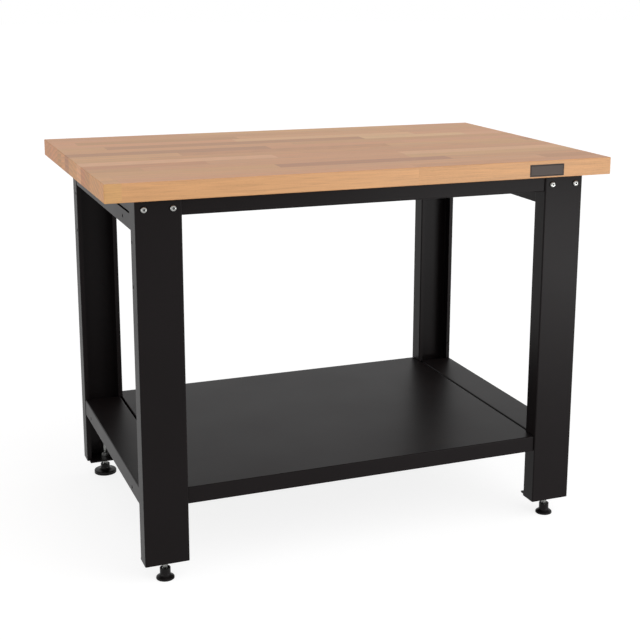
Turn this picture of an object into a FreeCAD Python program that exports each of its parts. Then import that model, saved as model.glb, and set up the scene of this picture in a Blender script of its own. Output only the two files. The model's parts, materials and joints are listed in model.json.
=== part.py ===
import FreeCAD, Part
import math
import os
import re

import Sketcher

# Assembly table: a beech worktop on a bolted frame of folded sheet steel, with a shelf and four
# levelling feet. Millimetres, +Z up, +X along the front edge, +Y from the front to the back. The
# origin is on the floor, under the middle of the table. The table is alike on both sides of X = 0
# and of Y = 0, so most pieces are drawn once at the front left and mirrored.

SIZES = {
    # the whole table
    "table_height": 900,
    "foot_height": 45,  # floor to the underside of the base plates
    # worktop: one board of glued beech staves
    "top_length": 1200,
    "top_depth": 750,
    "top_thickness": 40,
    "top_edge_break": 1.2,
    # bare badge plate, let into the front edge near the right end
    "badge_length": 90,
    "badge_height": 28,
    "badge_thickness": 1.2,
    "badge_recess": 0.7,
    "badge_play": 0.2,
    "badge_corner": 1.5,
    "badge_from_end": 128,
    "badge_from_top": 8.5,
    # legs: lipped channels, with the web facing out of the table's front or back
    "leg_width": 100,
    "leg_depth": 46,
    "leg_lip": 11,
    "leg_sheet": 2,
    "bend_inside": 1,  # inside radius of every fold
    "leg_inset_side": 65,  # worktop's end to the legs' outer flanges
    "leg_inset_front": 18,  # worktop's front edge to the front legs' webs
    # holes in the legs' outer flanges and lips, for panels and hooks
    "panel_hole_diameter": 8,
    "panel_hole_edge": 11,  # hole's axis to the flange's free side
    "panel_hole_drop": 94,  # worktop's underside to the upper hole's axis
    "panel_hole_spacing": 96,
    "lip_hole_diameter": 5,
    "lip_hole_edge": 4.5,
    "lip_hole_rise": 46,  # shelf's top to the hole's axis
    # base plates, welded under the legs' lower ends
    "base_plate_depth": 65,
    "base_plate_thickness": 4,
    "base_plate_tongue_inset": 5,  # legs' flanges to the tongue that stands out behind them
    # upper rails: inverted channels between a front and a rear leg, closed below by a strip
    "rail_inset": 1,  # legs' outer flanges to the rails' outer faces
    "rail_inner_inset": 8,  # legs' inner flanges to the rails' inner faces
    "rail_sheet": 2,
    "rail_end_gap": 0.2,
    "upper_rail_drop": 70,
    "rail_mouth": 50,  # open length at each end of the strip, for the leg bolts' nuts
    "driver_hole_diameter": 16,  # in the strip, under each screw
    "slot_length": 150,
    "slot_height": 5,
    "slot_drop": 34,  # worktop's underside to the slot's middle
    "slot_from_end": 10,
    "hook_hole_diameter": 8,
    "hook_hole_drop": 53,
    "hook_hole_from_end": 78,
    # lower rails: shallower, with a ledge that carries the shelf
    "shelf_top": 216,
    "lower_rail_drop": 40,
    "ledge_width": 24,
    "ledge_end_gap": 10,
    "side_hole_diameter": 8,
    "side_hole_spacing": 480,
    "side_hole_drop": 28,
    # aprons: channels between the two front legs and between the two rear legs
    "apron_height": 37,
    "apron_depth": 30,
    "apron_sheet": 2,
    "apron_setback": 4,
    "apron_end_gap": 0.2,
    # shelf: a tray with its edges folded down and in
    "shelf_sheet": 1.5,
    "shelf_setback": 5,  # legs' webs to the shelf's front and back lips
    "shelf_side_gap": 4,  # shelf to the lower rails
    "shelf_leg_gap": 1,
    "shelf_return": 15,
    # fasteners, and the play round them
    "hole_play": 1,  # added to a screw's diameter for its clearance hole
    "thread_play": 0.1,  # added to a screw's diameter for the thread that it turns in
    "m8_diameter": 8,
    "m8_head_diameter": 14,
    "m8_head_height": 4.4,
    "m8_key_width": 5,
    "m8_key_depth": 2.6,
    "m8_nut_width": 13,
    "m8_nut_height": 6.5,
    "m8_washer_diameter": 16,
    "m8_washer_thickness": 1.6,
    "m6_diameter": 6,
    "m6_head_diameter": 10.5,
    "m6_head_height": 3.3,
    "m6_key_width": 4,
    "m6_key_depth": 2,
    "m6_nut_width": 10,
    "m6_nut_height": 5,
    "thread_end": 2,  # how far a screw stands out of its nut
    "bolt_point": 0.8,  # chamfer at a bolt's or stud's end
    "head_roundness": 0.76,  # share of a head's height that its rounding takes
    "nut_flat_share": 0.95,  # flat ring on a nut's faces, as a share of its width
    "nut_corner_angle": 30,
    "tube_diameter": 14,
    "leg_bolt_from_side": 19,
    "leg_bolt_drop": 20,  # worktop's underside to the leg bolts' axes
    "apron_bolt_from_face": 18,
    "clamp_side_gap": 3,  # legs' flanges to the clamp plates' ends
    "clamp_height": 32,
    "clamp_thickness": 5,
    "rail_bolt_from_side": 25,
    "rail_bolt_drop": 20,
    "rail_bolt_length": 16,
    "wood_screw_diameter": 5,
    "wood_screw_head": 10,
    "wood_screw_head_height": 2.6,
    "wood_screw_grip": 26,  # how far it goes into the worktop
    "rail_screw_y": 200,
    "apron_screw_x": 300,
    "shelf_screw_y": 200,
    # levelling feet: M12 stud with a collar, held in the pad's cup
    "stud_diameter": 12,
    "stud_above_nut": 22,
    "collar_diameter": 15,
    "collar_height": 7,
    "collar_play": 0.2,
    "collar_float": 0.05,  # collar's underside to the socket's floor
    "weld_nut_width": 19,
    "weld_nut_height": 10,
    "lock_nut_width": 18,
    "lock_nut_height": 6,
    "foot_from_web": 27,  # front face of the web to the stud's axis
    "front_pad_diameter": 41,
    "front_pad_rim_height": 4,
    "front_hub_foot_height": 10,  # floor to where the hub rises out of the pad's dome
    "rear_pad_diameter": 58,
    "rear_pad_rim_height": 9,
    "rear_hub_foot_height": 11,
    "pad_height": 26,
    "hub_diameter": 24,
    "pad_sweep": 8,  # radius of the sweep between dome and hub
    "pad_rim_rounding": 2.5,
    "pad_edge_rounding": 0.8,
    "cup_diameter": 18,
    "snap_lip_height": 2,
    "socket_floor": 12,
}

# Places that several pieces share, worked out from the sizes.
PLACES = {
    "top_under": "table_height - top_thickness",
    "leg_outer": "top_length / 2 - leg_inset_side",
    "leg_centre": "leg_outer - leg_width / 2",
    "leg_inner": "leg_outer - leg_width",
    "leg_front": "top_depth / 2 - leg_inset_front",
    "leg_back": "leg_front - leg_depth",
    "leg_foot": "foot_height + base_plate_thickness",
    "leg_bolt_z": "top_under - leg_bolt_drop",
    "leg_bolt_x": "leg_width / 2 - leg_bolt_from_side",
    "rail_outer": "leg_outer - rail_inset",
    "rail_inner": "leg_inner + rail_inner_inset",
    "rail_middle": "(rail_outer + rail_inner) / 2",
    "rail_end": "leg_back - rail_end_gap",
    "upper_rail_foot": "top_under - upper_rail_drop",
    "lower_rail_foot": "shelf_top - lower_rail_drop",
    "ledge_top": "lower_rail_foot + rail_sheet",
    "rail_bolt_x": "leg_width / 2 - rail_bolt_from_side",
    "rail_bolt_z": "shelf_top - rail_bolt_drop",
    "clamp_side": "leg_width / 2 - leg_sheet - clamp_side_gap",
    "apron_face": "leg_front - apron_setback",
    "apron_end": "leg_inner - apron_end_gap",
    "apron_foot": "top_under - apron_height",
    "apron_bolt_y": "apron_face - apron_bolt_from_face",
    "apron_bolt_z": "top_under - apron_height / 2",
    "apron_screw_y": "apron_face - apron_depth / 2",
    "shelf_side": "rail_inner - shelf_side_gap",
    "shelf_end": "leg_front - shelf_setback",
    "shelf_screw_x": "shelf_side - shelf_sheet - shelf_return / 2",
    "m8_hole": "(m8_diameter + hole_play) / 2",
    "m6_hole": "(m6_diameter + hole_play) / 2",
    "wood_screw_hole": "(wood_screw_diameter + hole_play) / 2",
    "stud_bore": "(stud_diameter + thread_play) / 2",
    "foot_y": "leg_front - foot_from_web",
    "outer_bend_leg": "bend_inside + leg_sheet",
    "outer_bend_rail": "bend_inside + rail_sheet",
    "outer_bend_apron": "bend_inside + apron_sheet",
    "outer_bend_shelf": "bend_inside + shelf_sheet",
}

doc = FreeCAD.newDocument("assembly_table")
sheet = doc.addObject("Spreadsheet::Sheet", "Sizes")
for row, (name, value) in enumerate(SIZES.items(), start=1):
    sheet.set("A%d" % row, name)
    sheet.set("B%d" % row, str(value))
    sheet.setAlias("B%d" % row, name)
doc.recompute()

nodes = []


# ---------------------------------------------------------------- formulas and sketches


def formula(text):
    """Spells out the shared places in a formula and points its sizes at the sheet."""

    def spelled(match):
        word = match.group()
        if word in PLACES:
            return "(" + formula(PLACES[word]) + ")"
        return "Sizes." + word if word in SIZES else word

    return re.sub(r"[a-z_][a-z_0-9]*", spelled, text)


def worth(text):
    """The value of a formula, in millimetres."""
    return float(sheet.evalExpression(formula(text)))


def vector(x, y, z):
    return FreeCAD.Vector(worth(x), worth(y), worth(z))


def new_body(label):
    body = doc.addObject("PartDesign::Body", label)
    body.Label = label
    return body


def new_sketch(body, plane, start):
    """A sketch on one of the body's own planes, lifted to a start along that plane's axis."""
    sketch = body.newObject("Sketcher::SketchObject", body.Label + "_sketch")
    role = plane + "_Plane"
    support = [feature for feature in body.Origin.OriginFeatures if feature.Role == role]
    sketch.AttachmentSupport = [(support[0], "")]
    sketch.MapMode = "FlatFace"
    lift = "-(%s)" if plane == "XZ" else "%s"
    sketch.setExpression("AttachmentOffset.Base.z", formula(lift % start))
    return sketch


def constrain(sketch, kind, shape, point, name, text):
    """Binds one coordinate of a sketch point, or a radius, to a formula."""
    if kind == "Radius":
        index = sketch.addConstraint(Sketcher.Constraint(kind, shape, worth(text)))
    else:
        index = sketch.addConstraint(Sketcher.Constraint(kind, -1, 1, shape, point, worth(text)))
    sketch.renameConstraint(index, name)
    sketch.setExpression("Constraints." + name, formula(text))


def draw_outline(sketch, corners):
    """A closed outline of straight lines, with each corner bound to its two formulas."""
    first = sketch.GeometryCount
    points = [vector(across, up, "0") for across, up in corners]
    for index, point in enumerate(points):
        following = points[(index + 1) % len(points)]
        sketch.addGeometry(Part.LineSegment(point, following), False)
    for index, (across, up) in enumerate(corners):
        line = first + index
        after = first + (index + 1) % len(corners)
        sketch.addConstraint(Sketcher.Constraint("Coincident", line, 2, after, 1))
        constrain(sketch, "DistanceX", line, 1, "across_%d" % line, across)
        constrain(sketch, "DistanceY", line, 1, "up_%d" % line, up)


def draw_circle(sketch, across, up, radius):
    circle = Part.Circle(vector(across, up, "0"), FreeCAD.Vector(0, 0, 1), worth(radius))
    shape = sketch.addGeometry(circle, False)
    constrain(sketch, "DistanceX", shape, 3, "across_%d" % shape, across)
    constrain(sketch, "DistanceY", shape, 3, "up_%d" % shape, up)
    constrain(sketch, "Radius", shape, 0, "radius_%d" % shape, radius)


def box_outline(low_across, low_up, high_across, high_up):
    return [
        (low_across, low_up),
        (high_across, low_up),
        (high_across, high_up),
        (low_across, high_up),
    ]


def hexagon_outline(width):
    """A hexagon's corners round the origin, for a width across its flats."""
    reach = "%s / sqrt(3)" % width
    angles = range(30, 390, 60)
    return [("%s * cos(%d deg)" % (reach, a), "%s * sin(%d deg)" % (reach, a)) for a in angles]


def extrude(body, plane, start, length, outlines=(), circles=(), cut=False):
    """Adds or cuts a straight block from start, for length along the plane's positive axis."""
    sketch = new_sketch(body, plane, start)
    for corners in outlines:
        draw_outline(sketch, corners)
    for circle in circles:
        draw_circle(sketch, *circle)
    before = 0.0 if body.Shape.isNull() else body.Shape.Volume
    kind = "Pocket" if cut else "Pad"
    feature = body.newObject("PartDesign::" + kind, body.Label + "_" + kind.lower())
    feature.Profile = sketch
    feature.setExpression("Length", formula(length))
    feature.Reversed = (plane == "XZ") != cut
    doc.recompute()
    if (body.Shape.Volume < before) != cut:
        raise RuntimeError("%s: %s changed nothing" % (body.Label, feature.Name))


def revolve(body, outlines, cut=False):
    """Adds or cuts outlines of (radius, height) corners, turned round the body's Z axis."""
    sketch = new_sketch(body, "XZ", "0")
    for corners in outlines:
        draw_outline(sketch, corners)
    before = 0.0 if body.Shape.isNull() else body.Shape.Volume
    kind = "Groove" if cut else "Revolution"
    feature = body.newObject("PartDesign::" + kind, body.Label + "_" + kind.lower())
    feature.Profile = sketch
    feature.ReferenceAxis = (sketch, ["V_Axis"])
    feature.Angle = 360.0
    doc.recompute()
    if (body.Shape.Volume < before) != cut:
        raise RuntimeError("%s: %s changed nothing" % (body.Label, feature.Name))


def edges_along(shape, axis, points):
    """Names of the straight edges that run along an axis ("x", "y" or "z") through the points."""
    others = [name for name in "xyz" if name != axis]
    found = []
    for number, edge in enumerate(shape.Edges, start=1):
        ends = [vertex.Point for vertex in edge.Vertexes]
        if len(ends) != 2 or any(
            abs(getattr(ends[0], name) - getattr(ends[1], name)) > 1e-6 for name in others
        ):
            continue
        place = [getattr(ends[0], name) for name in others]
        if any(math.dist(place, point) < 1e-4 for point in points):
            found.append("Edge%d" % number)
    return found


def rings_at(shape, rings):
    """Names of the circular edges round the Z axis with these pairs of radius and height."""
    found = []
    for number, edge in enumerate(shape.Edges, start=1):
        curve = edge.Curve
        if isinstance(curve, Part.Circle) and any(
            math.dist((curve.Radius, curve.Center.z), ring) < 1e-4 for ring in rings
        ):
            found.append("Edge%d" % number)
    return found


def round_off(body, names, radius):
    """Rounds the named edges of the body's last feature."""
    if not names:
        raise RuntimeError("%s: found no edge to round" % body.Label)
    base = body.Tip
    feature = body.newObject("PartDesign::Fillet", body.Label + "_rounding")
    feature.Base = (base, names)
    feature.setExpression("Radius", formula(radius))
    doc.recompute()


def fold(body, axis, places, radius):
    """Rounds the edges along an axis whose other two coordinates are these pairs of formulas."""
    points = [(worth(first), worth(second)) for first, second in places]
    round_off(body, edges_along(body.Shape, axis, points), radius)


def round_rings(body, rings, radius):
    """Rounds the circular edges with these pairs of formulas for radius and height."""
    wanted = [(worth(across), worth(height)) for across, height in rings]
    round_off(body, rings_at(body.Shape, wanted), radius)


# ---------------------------------------------------------------- placing, mirroring, grouping


def place(piece, x, y, z, facing=(0, 0, 1)):
    """Puts a piece's origin at a point, with its own +Z turned to face a direction."""
    turn = FreeCAD.Rotation(FreeCAD.Vector(0, 0, 1), FreeCAD.Vector(*facing))
    piece.Placement = FreeCAD.Placement(vector(x, y, z), turn)
    for name, text in (("x", x), ("y", y), ("z", z)):
        piece.setExpression("Placement.Base." + name, formula(text))
    return piece


def mirror(source, axis, label):
    """A copy of a piece on the other side of the table's middle, across X = 0 or Y = 0."""
    copy = doc.addObject("Part::Mirroring", label)
    copy.Label = label
    copy.Source = source
    copy.Normal = FreeCAD.Vector(1, 0, 0) if axis == "x" else FreeCAD.Vector(0, 1, 0)
    return copy


def group(label, members):
    gathered = doc.addObject("Part::Compound", label)
    gathered.Label = label
    gathered.Links = members
    return gathered


def keep(piece):
    """Lists a piece as a sub-part that gets a file of its own."""
    nodes.append(piece)
    return piece


def keep_both(piece, axis, label):
    keep(piece)
    return keep(mirror(piece, axis, label))


def keep_four(piece, name):
    """The front left piece and its three mirrored copies, each a sub-part."""
    keep(piece)
    front_right = keep(mirror(piece, "x", name + "_front_right"))
    keep(mirror(piece, "y", name + "_rear_left"))
    keep(mirror(front_right, "y", name + "_rear_right"))


def keep_group(label, pieces):
    """One sub-part that holds these pieces and their copies in all four quarters of the table."""
    quarter = group(label + "_front_left", pieces)
    side = mirror(quarter, "x", label + "_front_right")
    front = group(label + "_front", [quarter, side])
    back = mirror(front, "y", label + "_rear")
    return keep(group(label, [front, back]))


# ---------------------------------------------------------------- fasteners, drawn along Z


def button_bolt(label, thread, length):
    """A button-head bolt: its head stands on Z = 0 and its shank runs down from there."""
    shank = "%s_diameter / 2" % thread
    head = "%s_head_diameter / 2" % thread
    height = "%s_head_height" % thread
    body = new_body(label)
    profile = [
        ("0", height),
        (head, height),
        (head, "0"),
        (shank, "0"),
        (shank, "bolt_point - (%s)" % length),
        (shank + " - bolt_point", "-(%s)" % length),
        ("0", "-(%s)" % length),
    ]
    revolve(body, [profile])
    round_rings(body, [(head, height)], height + " * head_roundness")
    depth = "%s_key_depth" % thread
    socket = hexagon_outline("%s_key_width" % thread)
    extrude(body, "XY", "%s - %s" % (height, depth), depth, outlines=[socket], cut=True)
    return body


def hexagon_nut(label, width, height, bore):
    """A nut that stands on Z = 0, with its bore along Z and the tips of its corners turned off."""
    body = new_body(label)
    outline = hexagon_outline(width)
    extrude(body, "XY", "0", height, outlines=[outline], circles=[("0", "0", bore)])
    flat, beyond = width + " * nut_flat_share / 2", width
    drop = "(%s - %s) * tan(nut_corner_angle * 1 deg)" % (beyond, flat)
    top = [(flat, height), (beyond, height), (beyond, "%s - %s" % (height, drop))]
    bottom = [(flat, "0"), (beyond, "0"), (beyond, drop)]
    revolve(body, [top, bottom], cut=True)
    return body


def ring(label, outer, inner, length):
    """A washer or a tube that stands on Z = 0: a cylinder less its bore."""
    outside = doc.addObject("Part::Cylinder", label + "_outside")
    bore = doc.addObject("Part::Cylinder", label + "_bore")
    for piece, radius in ((outside, outer), (bore, inner)):
        piece.setExpression("Radius", formula(radius))
        piece.setExpression("Height", formula(length))
    cut = doc.addObject("Part::Cut", label)
    cut.Label = label
    cut.Base = outside
    cut.Tool = bore
    return cut


def wood_screw(label):
    """A pan-head screw whose head hangs below Z = 0 and whose shank runs up from there."""
    body = new_body(label)
    head = "wood_screw_head / 2"
    shank = "wood_screw_diameter / 2"
    tip = "rail_sheet + wood_screw_grip"
    profile = [
        ("0", "-wood_screw_head_height"),
        (head, "-wood_screw_head_height"),
        (head, "0"),
        (shank, "0"),
        (shank, tip + " - wood_screw_diameter"),
        ("0", tip),
    ]
    revolve(body, [profile])
    rim = [(head, "-wood_screw_head_height")]
    round_rings(body, rim, "wood_screw_head_height * head_roundness")
    return body


# ---------------------------------------------------------------- worktop and badge plate


def make_worktop():
    body = new_body("worktop")
    board = box_outline("-top_length / 2", "-top_depth / 2", "top_length / 2", "top_depth / 2")
    extrude(body, "XY", "top_under", "top_thickness", outlines=[board])
    block = body.Tip
    names = ["Edge%d" % (number + 1) for number in range(len(block.Shape.Edges))]
    chamfer = body.newObject("PartDesign::Chamfer", "worktop_eased_edges")
    chamfer.Base = (block, names)
    chamfer.setExpression("Size", formula("top_edge_break"))
    doc.recompute()
    play = "badge_play"
    recess = box_outline(
        "top_length / 2 - badge_from_end - badge_length - " + play,
        "table_height - badge_from_top - badge_height - " + play,
        "top_length / 2 - badge_from_end + " + play,
        "table_height - badge_from_top + " + play,
    )
    extrude(body, "XZ", "-top_depth / 2", "badge_recess", outlines=[recess], cut=True)
    pilot = "(wood_screw_diameter + thread_play) / 2"
    holes = []
    for side in ("-", ""):
        for end in ("-", ""):
            holes.append((side + "rail_middle", end + "rail_screw_y", pilot))
            holes.append((side + "apron_screw_x", end + "apron_screw_y", pilot))
        holes.append(("0", side + "apron_screw_y", pilot))
    extrude(body, "XY", "top_under", "wood_screw_grip + thread_end", circles=holes, cut=True)
    return body


def make_badge_plate():
    body = new_body("badge_plate")
    plate = box_outline(
        "top_length / 2 - badge_from_end - badge_length",
        "table_height - badge_from_top - badge_height",
        "top_length / 2 - badge_from_end",
        "table_height - badge_from_top",
    )
    front = "-top_depth / 2 + badge_recess - badge_thickness"
    extrude(body, "XZ", front, "badge_thickness", outlines=[plate])
    fold(body, "y", plate, "badge_corner")
    return body


# ---------------------------------------------------------------- legs and base plates


def make_leg():
    """The front left leg: web at the front, two flanges, and a lip on each."""
    body = new_body("leg_front_left")
    outer, inner, front, back = "-leg_outer", "-leg_inner", "-leg_front", "-leg_back"
    web_in, lip_in = front + " + leg_sheet", back + " - leg_sheet"
    outer_in, inner_in = outer + " + leg_sheet", inner + " - leg_sheet"
    outer_lip, inner_lip = outer + " + leg_lip", inner + " - leg_lip"
    profile = [
        (outer, front),
        (inner, front),
        (inner, back),
        (inner_lip, back),
        (inner_lip, lip_in),
        (inner_in, lip_in),
        (inner_in, web_in),
        (outer_in, web_in),
        (outer_in, lip_in),
        (outer_lip, lip_in),
        (outer_lip, back),
        (outer, back),
    ]
    extrude(body, "XY", "leg_foot", "top_under - leg_foot", outlines=[profile])
    outside = [(outer, front), (inner, front), (inner, back), (outer, back)]
    inside = [(inner_in, lip_in), (inner_in, web_in), (outer_in, web_in), (outer_in, lip_in)]
    fold(body, "z", outside, "outer_bend_leg")
    fold(body, "z", inside, "bend_inside")
    bolts = [
        ("-leg_centre - leg_bolt_x", "leg_bolt_z", "m8_hole"),
        ("-leg_centre + leg_bolt_x", "leg_bolt_z", "m8_hole"),
    ]
    extrude(body, "XZ", front, "leg_sheet", circles=bolts, cut=True)
    panel_y, panel_z = "-leg_back - panel_hole_edge", "top_under - panel_hole_drop"
    panel = [
        (panel_y, panel_z, "panel_hole_diameter / 2"),
        (panel_y, panel_z + " - panel_hole_spacing", "panel_hole_diameter / 2"),
    ]
    extrude(body, "YZ", outer, "leg_sheet", circles=panel, cut=True)
    apron = [("-apron_bolt_y", "apron_bolt_z", "m6_hole")]
    extrude(body, "YZ", inner_in, "leg_sheet", circles=apron, cut=True)
    lip = [(outer_lip + " - lip_hole_edge", "shelf_top + lip_hole_rise", "lip_hole_diameter / 2")]
    extrude(body, "XZ", lip_in, "leg_sheet", circles=lip, cut=True)
    return body


def make_base_plate():
    body = new_body("base_plate_front_left")
    tongue = "-leg_front + base_plate_depth"
    tongue_outer = "-leg_outer + base_plate_tongue_inset"
    tongue_inner = "-leg_inner - base_plate_tongue_inset"
    plate = [
        ("-leg_outer", "-leg_front"),
        ("-leg_inner", "-leg_front"),
        ("-leg_inner", "-leg_back"),
        (tongue_inner, "-leg_back"),
        (tongue_inner, tongue),
        (tongue_outer, tongue),
        (tongue_outer, "-leg_back"),
        ("-leg_outer", "-leg_back"),
    ]
    bore = [("-leg_centre", "-foot_y", "stud_bore")]
    extrude(body, "XY", "foot_height", "base_plate_thickness", outlines=[plate], circles=bore)
    corners = [("-leg_outer", "-leg_front"), ("-leg_inner", "-leg_front")]
    fold(body, "z", corners, "outer_bend_leg")
    return body


# ---------------------------------------------------------------- rails


def channel(label, foot, top):
    """An inverted channel on the left, closed at both ends by a folded plate."""
    body = new_body(label)
    outer, inner = "-rail_outer", "-rail_inner"
    low, high = "-rail_end", "rail_end"
    shell = box_outline(outer, low, inner, high)
    extrude(body, "XY", foot, "%s - %s" % (top, foot), outlines=[shell])
    sides = [(low, top), (high, top)]
    fold(body, "y", [(outer, top), (inner, top)], "outer_bend_rail")
    fold(body, "x", sides, "bend_inside")
    hollow = box_outline(
        outer + " + rail_sheet", low + " + rail_sheet", inner + " - rail_sheet", high + " - rail_sheet"
    )
    extrude(body, "XY", foot, "%s - rail_sheet - %s" % (top, foot), outlines=[hollow], cut=True)
    under = top + " - rail_sheet"
    fold(
        body,
        "y",
        [(outer + " + rail_sheet", under), (inner + " - rail_sheet", under)],
        "bend_inside",
    )
    return body


def make_upper_rail():
    body = channel("upper_rail_left", "upper_rail_foot", "top_under")
    bolts = [
        ("-leg_centre - leg_bolt_x", "leg_bolt_z", "m8_hole"),
        ("-leg_centre + leg_bolt_x", "leg_bolt_z", "m8_hole"),
    ]
    extrude(body, "XZ", "-rail_end", "2 * rail_end", circles=bolts, cut=True)
    screws = [
        ("-rail_middle", "-rail_screw_y", "wood_screw_hole"),
        ("-rail_middle", "rail_screw_y", "wood_screw_hole"),
    ]
    extrude(body, "XY", "top_under - rail_sheet", "rail_sheet", circles=screws, cut=True)
    strip_end = "(rail_end - rail_mouth)"
    strip = box_outline("-rail_outer", "-" + strip_end, "-rail_inner", strip_end)
    access = [(across, along, "driver_hole_diameter / 2") for across, along, _ in screws]
    extrude(body, "XY", "upper_rail_foot", "rail_sheet", outlines=[strip], circles=access)
    slots, hooks = [], []
    low, high = "top_under - slot_drop - slot_height / 2", "top_under - slot_drop + slot_height / 2"
    near, far = "(rail_end - slot_from_end)", "(rail_end - slot_from_end - slot_length)"
    slots.append(box_outline("-" + near, low, "-" + far, high))
    slots.append(box_outline(far, low, near, high))
    for end in ("-", ""):
        place_y = end + "(rail_end - hook_hole_from_end)"
        hooks.append((place_y, "top_under - hook_hole_drop", "hook_hole_diameter / 2"))
    extrude(body, "YZ", "-rail_outer", "rail_sheet", outlines=slots, circles=hooks, cut=True)
    return body


def make_lower_rail():
    body = channel("lower_rail_left", "lower_rail_foot", "shelf_top")
    ledge_end = "rail_end - ledge_end_gap"
    ledge = box_outline(
        "-rail_inner - rail_sheet", "-(%s)" % ledge_end, "-rail_inner + ledge_width", ledge_end
    )
    extrude(body, "XY", "lower_rail_foot", "rail_sheet", outlines=[ledge])
    bolts = [
        ("-leg_centre - rail_bolt_x", "rail_bolt_z", "m8_hole"),
        ("-leg_centre + rail_bolt_x", "rail_bolt_z", "m8_hole"),
    ]
    extrude(body, "XZ", "-rail_end", "2 * rail_end", circles=bolts, cut=True)
    side_z = "shelf_top - side_hole_drop"
    sides = [
        ("-side_hole_spacing / 2", side_z, "side_hole_diameter / 2"),
        ("side_hole_spacing / 2", side_z, "side_hole_diameter / 2"),
    ]
    extrude(body, "YZ", "-rail_outer", "rail_sheet", circles=sides, cut=True)
    screws = [
        ("-shelf_screw_x", "-shelf_screw_y", "m6_hole"),
        ("-shelf_screw_x", "shelf_screw_y", "m6_hole"),
    ]
    extrude(body, "XY", "lower_rail_foot", "rail_sheet", circles=screws, cut=True)
    return body


def make_apron():
    """The front apron: a channel open to the back, closed at its ends."""
    body = new_body("apron_front")
    end, face = "apron_end", "-apron_face"
    shell = box_outline("-" + end, face, end, face + " + apron_depth")
    extrude(body, "XY", "apron_foot", "apron_height", outlines=[shell])
    fold(body, "x", [(face, "apron_foot"), (face, "top_under")], "outer_bend_apron")
    hollow = box_outline(
        "-%s + apron_sheet" % end, face + " + apron_sheet", end + " - apron_sheet", face + " + apron_depth"
    )
    within = "apron_height - 2 * apron_sheet"
    extrude(body, "XY", "apron_foot + apron_sheet", within, outlines=[hollow], cut=True)
    screws = [
        (across, "-apron_screw_y", "wood_screw_hole")
        for across in ("-apron_screw_x", "0", "apron_screw_x")
    ]
    extrude(body, "XY", "top_under - apron_sheet", "apron_sheet", circles=screws, cut=True)
    bolt = [("-apron_bolt_y", "apron_bolt_z", "m6_hole")]
    extrude(body, "YZ", "-" + end, "2 * " + end, circles=bolt, cut=True)
    return body


# ---------------------------------------------------------------- shelf


def tray_outline(side, end, leg_side, leg_end):
    """A rectangle with its four corners notched for the legs."""
    return [
        ("-" + leg_side, "-" + end),
        (leg_side, "-" + end),
        (leg_side, "-" + leg_end),
        (side, "-" + leg_end),
        (side, leg_end),
        (leg_side, leg_end),
        (leg_side, end),
        ("-" + leg_side, end),
        ("-" + leg_side, leg_end),
        ("-" + side, leg_end),
        ("-" + side, "-" + leg_end),
        ("-" + leg_side, "-" + leg_end),
    ]


def make_shelf():
    body = new_body("shelf")
    sheet_in = " - shelf_sheet)"
    leg_side, leg_end = "(leg_inner - shelf_leg_gap)", "(leg_back - shelf_leg_gap)"
    outer = tray_outline("shelf_side", "shelf_end", leg_side, leg_end)
    extrude(body, "XY", "ledge_top", "shelf_top - ledge_top", outlines=[outer])
    fold(body, "x", [("-shelf_end", "shelf_top"), ("shelf_end", "shelf_top")], "outer_bend_shelf")
    fold(body, "y", [("-shelf_side", "shelf_top"), ("shelf_side", "shelf_top")], "outer_bend_shelf")
    inner = tray_outline(
        "(shelf_side" + sheet_in,
        "(shelf_end" + sheet_in,
        "(%s%s" % (leg_side, sheet_in),
        "(%s%s" % (leg_end, sheet_in),
    )
    hollow = "shelf_top - ledge_top - 2 * shelf_sheet"
    extrude(body, "XY", "ledge_top + shelf_sheet", hollow, outlines=[inner], cut=True)
    side = "(shelf_side - shelf_sheet - shelf_return)"
    end = "(shelf_end - shelf_sheet - shelf_return)"
    mouth = box_outline("-" + side, "-" + end, side, end)
    extrude(body, "XY", "ledge_top", "shelf_sheet", outlines=[mouth], cut=True)
    screws = [
        (across + "shelf_screw_x", up + "shelf_screw_y", "m6_hole")
        for across in ("-", "")
        for up in ("-", "")
    ]
    extrude(body, "XY", "ledge_top", "shelf_sheet", circles=screws, cut=True)
    return body


# ---------------------------------------------------------------- frame fasteners


def make_leg_fixings():
    """Through bolts that pull each leg's web against the upper rail's end plate."""
    length = "leg_front - rail_end + rail_sheet + m8_washer_thickness + m8_nut_height + thread_end"
    bolts, washers, nuts, tubes = [], [], [], []
    for side, name in ((" - leg_bolt_x", "outer"), (" + leg_bolt_x", "inner")):
        x = "-leg_centre" + side
        bolt = button_bolt("leg_bolt_" + name, "m8", length)
        bolts.append(place(bolt, x, "-leg_front", "leg_bolt_z", (0, -1, 0)))
        washer = ring("washer_" + name, "m8_washer_diameter / 2", "m8_hole", "m8_washer_thickness")
        under = "-rail_end + rail_sheet"
        washers.append(place(washer, x, under, "leg_bolt_z", (0, 1, 0)))
        nut = hexagon_nut(
            "nut_" + name, "m8_nut_width", "m8_nut_height", "(m8_diameter + thread_play) / 2"
        )
        on_washer = under + " + m8_washer_thickness"
        nuts.append(place(nut, x, on_washer, "leg_bolt_z", (0, 1, 0)))
        span = "leg_front - leg_sheet - rail_end"
        tube = ring("tube_" + name, "tube_diameter / 2", "m8_hole", span)
        tubes.append(place(tube, x, "-leg_front + leg_sheet", "leg_bolt_z", (0, 1, 0)))
    keep_group("leg_bolts", bolts)
    keep_group("leg_bolt_washers", washers)
    keep_group("leg_bolt_nuts", nuts)
    keep_group("leg_crush_tubes", tubes)


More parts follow.
